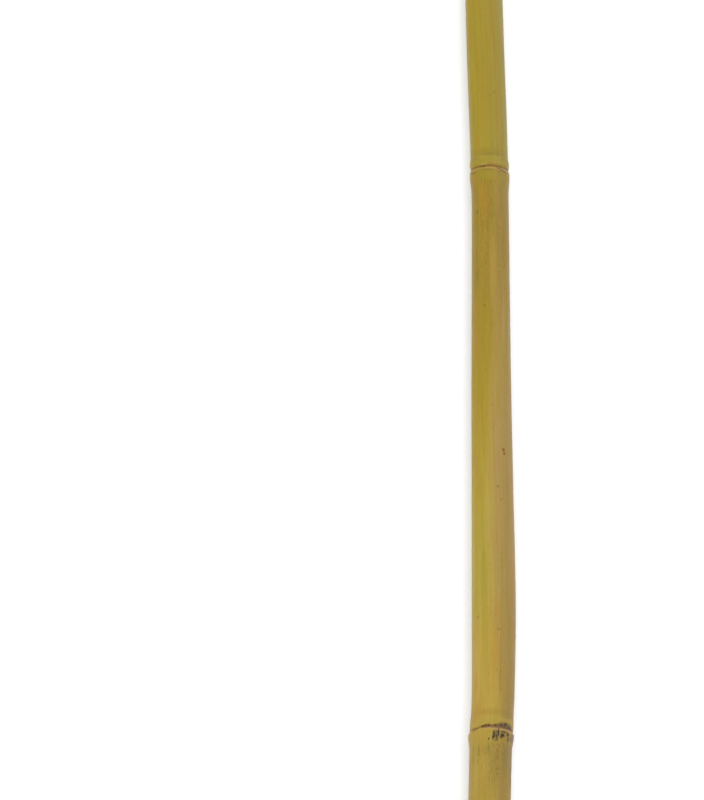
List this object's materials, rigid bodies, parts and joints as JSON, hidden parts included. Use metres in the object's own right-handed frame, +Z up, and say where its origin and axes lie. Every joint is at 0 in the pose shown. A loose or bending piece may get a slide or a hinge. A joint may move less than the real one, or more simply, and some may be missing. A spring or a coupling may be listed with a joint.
{
  "type": "bamboo cane",
  "caption": "Length of stout bamboo cane lying on a surface: ringed nodes, a slight sway and bend, sawn square and hollow at both ends.",
  "frame": {"origin": "centre of the bounding box in X and Y, at the surface that the cane lies on", "axes": "+X along the cane from its butt to its tip, +Z up"},
  "size_m": [0.6, 0.0362, 0.0184],
  "materials": {
    "bamboo": "satin, yellow-green to tan rind with fine lengthwise streaks, brown scars at the nodes, pale fibrous cut ends"
  },
  "bodies": {
    "root": {"cane": "bamboo"}
  },
  "joints": []
}
